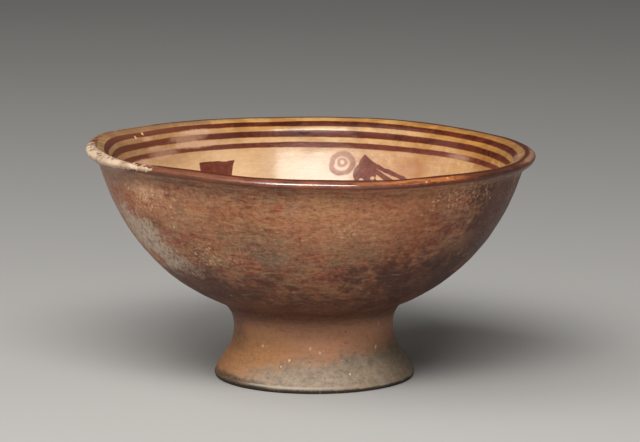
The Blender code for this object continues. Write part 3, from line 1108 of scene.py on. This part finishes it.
class Brush:
    """Paints shapes on the inside wall, laid out in millimetres: across, and down by reach."""

    EDGE = 0.17
    STROKE_END = 0.25
    DRY_EDGE = (0.75, -0.55)
    LEAF_ROUNDING = 1.7

    def __init__(self, make, across, down):
        self.make = make
        self.across = across
        self.down = down

    def inside(self, distance):
        """1 where a distance from the shape's edge is below zero."""
        return self.make.fade(distance, self.EDGE, -self.EDGE)

    def aside(self, slant, top):
        """The distance to either side of a line that slants down from the shape's top."""
        line = self.make.product(self.make.minus(self.down, top), slant)
        return self.make.math("ABSOLUTE", self.make.minus(self.across, line))

    def stroke(self, first, second, half_width):
        """A straight stroke from one point to another."""
        make = self.make
        run_u = second[0] - first[0]
        run_v = second[1] - first[1]
        length = math.hypot(run_u, run_v)
        run_u /= length
        run_v /= length
        du = make.minus(self.across, first[0])
        dv = make.minus(self.down, first[1])
        along = make.math("MULTIPLY_ADD", du, run_u, make.product(dv, run_v))
        aside = make.math("MULTIPLY_ADD", du, run_v, make.product(dv, -run_u))
        sides = self.inside(make.minus(make.math("ABSOLUTE", aside), half_width))
        return make.product(sides, make.within(along, 0.0, length, self.STROKE_END))

    def away_from(self, centre, flatness=1.0):
        """The distance from a point, measured longer up and down where it is flattened."""
        make = self.make
        down = make.product(make.minus(self.down, centre[1]), flatness)
        return make.length(make.minus(self.across, centre[0]), down)

    def ring(self, centre, radius, half_width):
        """A ring painted with a dry brush: its edges are soft."""
        make = self.make
        off = make.math("ABSOLUTE", make.minus(self.away_from(centre), radius))
        return make.fade(make.minus(off, half_width), *self.DRY_EDGE)

    def dab(self, centre, radius, flatness=1.0):
        return self.inside(self.make.minus(self.away_from(centre, flatness), radius))

    def upright(self, top, bottom, half, slant):
        """An upright shape between its top and bottom, whose half width is given."""
        sides = self.inside(self.make.minus(self.aside(slant, top), half))
        return self.make.product(sides, self.make.within(self.down, top, bottom, self.EDGE))

    def block(self, top, bottom, top_half, bottom_half, slant):
        """A block whose half width changes evenly from its top to its bottom."""
        change = (bottom_half - top_half) / (bottom - top)
        down = self.make.minus(self.down, top)
        half = self.make.math("MULTIPLY_ADD", down, change, top_half)
        return self.upright(top, bottom, half, slant)

    def leaf(self, top, bottom, half_width, slant):
        """A leaf with its point at the top, rounding out to its full width at the bottom."""
        make = self.make
        inputs = {0: self.down, 1: top, 2: bottom, 3: 1.0, 4: 0.0}
        rest = make.add("ShaderNodeMapRange", inputs).outputs[0]
        narrowed = make.math("POWER", rest, self.LEAF_ROUNDING)
        half = make.math("MULTIPLY_ADD", narrowed, -half_width, half_width)
        return self.upright(top, bottom, half, slant)


# Where the first of each figure stands, in degrees, and how the stepped block slants
STEP_ANGLE = -148.2
BEAST_ANGLE = 163.0
STEP_SLANT = -0.19


def drawn_figures(make, at):
    """The painted figures between the bands and the floor: a stepped block and a ringed beast."""
    shake = make.noise_colour(at["Place"], 0.2, 4.0)
    shaken = make.add("ShaderNodeSeparateColor", {0: shake}).outputs
    sway = make.math("MULTIPLY_ADD", shaken[0], 2.0, -1.0)
    down = make.math("MULTIPLY_ADD", shaken[1], 2.0, make.minus(at["Reach"], 1.0))
    span = 360.0 / FIGURE_REPEATS

    def brush_at(angle):
        turned = make.math("WRAP", make.minus(angle, at["Angle"]), span / 2.0, -span / 2.0)
        arc = make.product(make.math("RADIANS", turned), at["Radius"])
        return Brush(make, make.math("ADD", arc, sway), down)

    steps = brush_at(STEP_ANGLE)
    beast = brush_at(BEAST_ANGLE)
    shapes = make.most(
        steps.block(23.3, 33.6, 9.7, 7.2, STEP_SLANT),
        steps.block(36.2, 43.0, 5.4, 3.6, STEP_SLANT),
        beast.ring((-10.3, 25.4), 4.8, 1.25),
        beast.ring((-10.3, 24.9), 1.8, 0.68),
        beast.leaf(20.4, 26.0, 4.8, slant=0.45),
        beast.dab((1.2, 29.8), 5.8),
        beast.stroke((4.6, 25.3), (24.0, 31.8), 1.05),
        beast.stroke((4.6, 27.5), (18.0, 34.4), 1.3),
        beast.stroke((23.4, 31.6), (26.5, 40.5), 1.1),
        beast.dab((3.2, 36.4), 5.8, flatness=1.1),
        beast.stroke((-1.0, 39.0), (-4.5, 47.5), 1.3),
        beast.stroke((6.0, 39.0), (9.5, 47.5), 1.3),
    )
    first_gap = beast.dab((0.2, 33.0), 1.0, flatness=1.4)
    second_gap = beast.dab((5.1, 31.7), 1.15, flatness=1.5)
    return make.product(shapes, make.rest(make.most(first_gap, second_gap)))


# Rubbed and faded places of the inside
INSIDE_RUBS = (
    # share, angle, reach, half width, half height
    (0.70, -122.7, 9.1, 3.6, 1.0),
    (0.60, -124.8, 13.8, 4.8, 1.0),
    (0.75, -143.0, 8.9, 9.0, 1.3),
    (0.80, -141.0, 14.4, 11.0, 1.5),
    (0.50, -139.0, 11.2, 9.0, 2.2),
    (0.45, -127.0, 17.0, 9.0, 2.4),
    (0.90, -116.5, 19.8, 7.5, 2.4),
    (0.45, 128.0, 16.6, 8.0, 1.6),
    (0.50, 171.0, 24.6, 7.5, 6.0),
    (0.40, 84.0, 6.0, 10.0, 3.0),
    (0.55, 20.0, 40.0, 14.0, 8.0),
    (0.50, 0.0, 112.0, 24.0, 20.0),
)
RUB_EDGE = (0.0, 0.5, 0.6)

# Places of the cream ground: angle, reach, half width, half height, slope, softness, raggedness
TAN_WALL = (146.0, 27.0, 34.0, 13.0, 0.0, 0.5, 0.7)
DEEP_RIGHT = (122.0, 7.0, 52.0, 12.0, 0.0, 0.6, 0.4)
FADED_PAINT = (-118.0, 9.0, 42.0, 12.0, 0.0, 0.6, 0.5)
LEFT_WALL = (-150.0, 30.0, 42.0, 14.0, 0.0, 0.6, 0.3)
RIGHT_STAIN = (147.0, 26.0, 8.0, 4.5, 0.0, 0.5, 0.8)
GROUND_AGEING = (
    # paint, share, and its place
    ((168, 126, 92), 0.65, -122.0, 9.0, 46.0, 12.0, 0.0, 0.5, 0.4),
    ((132, 96, 66), 0.75, -122.0, 1.8, 48.0, 3.4, 0.0, 0.5, 0.5),
    ((174, 148, 122), 0.6, 178.0, 32.0, 26.0, 13.0, 0.0, 0.6, 0.3),
    ((126, 92, 58), 0.65, -88.0, 2.2, 9.0, 2.8, 0.0, 0.6, 0.7),
)


def cream_ground(make, at, coarse, broken):
    """The cream slip of the inside: ochre above, deeper at the right, aged at the left."""
    ground = make.mottled(coarse, 0.38, 0.62, (178, 138, 95), (200, 163, 120))
    ground = make.lay(make.patch(*LEFT_WALL), 0.6, ground, (214, 178, 136))
    tan = make.product(make.patch(*TAN_WALL), make.fade(broken, 0.40, 0.58))
    ground = make.lay(tan, 0.8, ground, (158, 106, 60))
    ground = make.lay(make.patch(*RIGHT_STAIN), 0.6, ground, (150, 94, 52))
    above = make.fade(at["Reach"], 17.0, 8.0)
    ochre = make.mottled(coarse, 0.4, 0.6, (160, 112, 54), (184, 142, 80))
    ground = make.mix(make.product(above, 0.85), ground, ochre)
    deep = make.mottled(coarse, 0.4, 0.6, (148, 98, 42), (166, 118, 58))
    ground = make.mix(make.product(make.patch(*DEEP_RIGHT), 0.85), ground, deep)
    return make.lay_patches(ground, GROUND_AGEING)


def brown_paint(make, at, grain, broken):
    """The brown of the bands and figures, thinner lower down and faded at the left."""
    brown = make.mottled(broken, 0.40, 0.60, (58, 18, 11), (92, 38, 26))
    thinner = make.product(make.fade(at["Reach"], 11.0, 19.0), make.fade(grain, 0.2, 0.6))
    brown = make.mix(thinner, brown, pigment(106, 50, 38))
    return make.lay(make.patch(*FADED_PAINT), 0.7, brown, (118, 68, 50))


def painted_inside():
    """Cream slip with brown bands and figures, polished and rubbed by use."""
    material, make, shader = new_finish("painted_inside", KIT)
    at = make.group(KIT.wall)
    coarse = make.noise(at["Place"], 0.07, detail=6.0, roughness=0.60)
    grain = make.noise(at["Place"], 0.36, detail=6.0, roughness=0.68)
    brushed = make.burnish(0.42, 5.0, 2.4)
    fine = make.burnish(1.2, 3.0, 2.4)
    broken = make.math("MULTIPLY_ADD", coarse, 0.5, make.product(grain, 0.5))
    make.edge_grain = broken
    ground = make.shade(cream_ground(make, at, coarse, broken), brushed, 0.16)
    ground = make.shade(ground, fine, 0.16)

    dark = drawn_figures(make, at)
    for start, end in BANDS + (FLOOR_LINE,):
        dark = make.most(dark, make.band(start, end, BAND_WANDER, BAND_SOFTNESS))
    thin = make.fade(make.noise(at["Place"], 0.45, detail=6.0, roughness=0.7), 0.30, 0.42)
    dark = make.product(dark, make.blend(thin, 0.80, 0.985))
    colour = make.mix(dark, ground, brown_paint(make, at, grain, broken))

    rubs = [make.product(make.patch(*place, *RUB_EDGE), share) for share, *place in INSIDE_RUBS]
    rubbed = make.product(make.most(*rubs), make.blend(fine, 0.65, 1.0))
    colour = make.mix(rubbed, colour, pigment(210, 170, 142))
    colour = make.lay(make.grit(3.6, 0.12, 0.16), 0.5, colour, (124, 78, 50))
    colour = make.mix(make.fade(make.kept("chip"), 0.3, 0.7), colour, pigment(226, 190, 150))

    rough = make.blend(brushed, 0.22, 0.29)
    rough = make.blend(dark, rough, 0.28)
    rough = make.blend(rubbed, rough, 0.42)
    polish = make.product(make.most(dark, rubbed), -0.85)
    polish = make.product(make.math("ADD", polish, 1.0), make.blend(brushed, 0.66, 0.50))
    height = make.math("MULTIPLY_ADD", brushed, 0.06, make.product(grain, 0.12))
    height = make.math("MULTIPLY_ADD", coarse, 0.5, height)
    surface = {"Colour": colour, "Roughness": rough, "Polish": polish, "Height": height}
    finish_to_the_lip(make, shader, 0.14, **surface)
    shader.inputs["Specular IOR Level"].default_value = 0.16
    return material


def bare_clay():
    """Clay without slip, in the hollow of the foot: scraped, dull and sooted."""
    material, make, shader = new_finish("bare_clay", KIT)
    at = make.group(KIT.wall)
    blotch = make.noise(at["Place"], 0.07, detail=6.0, roughness=0.65)
    colour = make.mottled(blotch, 0.3, 0.7, (118, 84, 62), (168, 126, 94))
    soot = make.fade(make.noise(at["Place"], 0.035, detail=3.0), 0.52, 0.70)
    colour = make.lay(soot, 0.6, colour, (74, 60, 50))
    marks = make.burnish(0.5, 6.0, 2.6)
    colour = make.shade(colour, marks, 0.3)
    spots = make.grit(2.6, 0.26, 0.3)
    colour = make.lay(spots, 0.5, colour, (86, 62, 48))
    rough = make.blend(marks, 0.78, 0.92)
    height = make.math("MULTIPLY_ADD", marks, 0.22, make.product(spots, -0.15))
    finish_with(make, shader, colour, rough, height)
    return material


# Studio


TABLE_HALF = 4.0

# Where the lights aim and how strongly the air of the studio glows
AIM_HEIGHT = 0.06
AIR_COLOUR = (1.0, 0.985, 0.965, 1.0)
AIR_STRENGTH = 0.08

SOFTBOX_COLOUR = (1.0, 0.98, 0.95)
SOFTBOXES = (
    # name, bearing from the front, elevation, distance, size, power
    ("key_softbox", -42.0, 54.0, 1.6, (1.80, 1.30), 22.0),
    ("front_softbox", 0.0, 47.0, 1.5, (1.05, 0.48), 21.0),
    ("left_card", -92.0, 22.0, 1.5, (0.50, 0.70), 1.6),
    ("right_card", 62.0, 34.0, 1.5, (0.40, 0.60), 0.9),
)

# The photo's viewpoint
CAMERA_PLACE = (0.0040, -1.600, 0.3393)
CAMERA_LOOKS_DOWN = math.radians(9.566)
CAMERA_LENS = 203.84
CAMERA_SENSOR = 36.0


def build_floor():
    """A plain pale table top that runs on past the view."""
    near, far = -TABLE_HALF, TABLE_HALF
    mesh = bpy.data.meshes.new("table_top")
    corners = [(near, near, 0.0), (far, near, 0.0), (far, far, 0.0), (near, far, 0.0)]
    mesh.from_pydata(corners, [], [(0, 1, 2, 3)])
    material, make, shader = new_finish("pale_table")
    place = make.add("ShaderNodeTexCoord").outputs["Object"]
    cloudy = make.noise(place, 3.0, detail=4.0)
    pale = make.mix(cloudy, pigment(164, 163, 161), pigment(170, 169, 167))
    make.join(pale, shader.inputs["Base Color"])
    shader.inputs["Roughness"].default_value = 0.85
    mesh.materials.append(material)
    floor = bpy.data.objects.new("table_top", mesh)
    bpy.context.scene.collection.objects.link(floor)


def softbox(name, bearing, elevation, distance, size, power):
    """A soft light aimed at the bowl; its bearing is positive to the right."""
    light = bpy.data.lights.new(name, "AREA")
    light.shape = "RECTANGLE"
    light.size, light.size_y = size
    light.energy = power
    light.color = SOFTBOX_COLOUR
    box = bpy.data.objects.new(name, light)
    turn = math.radians(bearing)
    tilt = math.radians(elevation)
    level = math.cos(tilt)
    away = Vector((math.sin(turn) * level, -math.cos(turn) * level, math.sin(tilt)))
    box.location = Vector((0.0, 0.0, AIM_HEIGHT)) + away * distance
    box.rotation_euler = away.to_track_quat("Z", "Y").to_euler()
    bpy.context.scene.collection.objects.link(box)


def light_studio():
    """Soft lights, a little warm, and a faint glow all round."""
    for light in SOFTBOXES:
        softbox(*light)
    world = bpy.data.worlds.new("studio_air")
    world.use_nodes = True
    air = world.node_tree.nodes["Background"].inputs
    air["Color"].default_value = AIR_COLOUR
    air["Strength"].default_value = AIR_STRENGTH
    bpy.context.scene.world = world


def place_camera():
    """The photo's viewpoint: a long lens, well back and a little above, looking slightly down."""
    camera = bpy.data.objects.new("camera", bpy.data.cameras.new("camera"))
    camera.location = CAMERA_PLACE
    camera.rotation_euler = (math.pi / 2.0 - CAMERA_LOOKS_DOWN, 0.0, 0.0)
    camera.data.sensor_width = CAMERA_SENSOR
    camera.data.lens = CAMERA_LENS
    camera.data.clip_end = 50.0
    bpy.context.scene.collection.objects.link(camera)
    bpy.context.scene.camera = camera


KIT = Kit()
place_camera()
painted_vessel = build_vessel()
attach(painted_vessel, "root")
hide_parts("pedestal_bowl")
build_floor()
light_studio()
bpy.context.scene.view_settings.view_transform = "Standard"
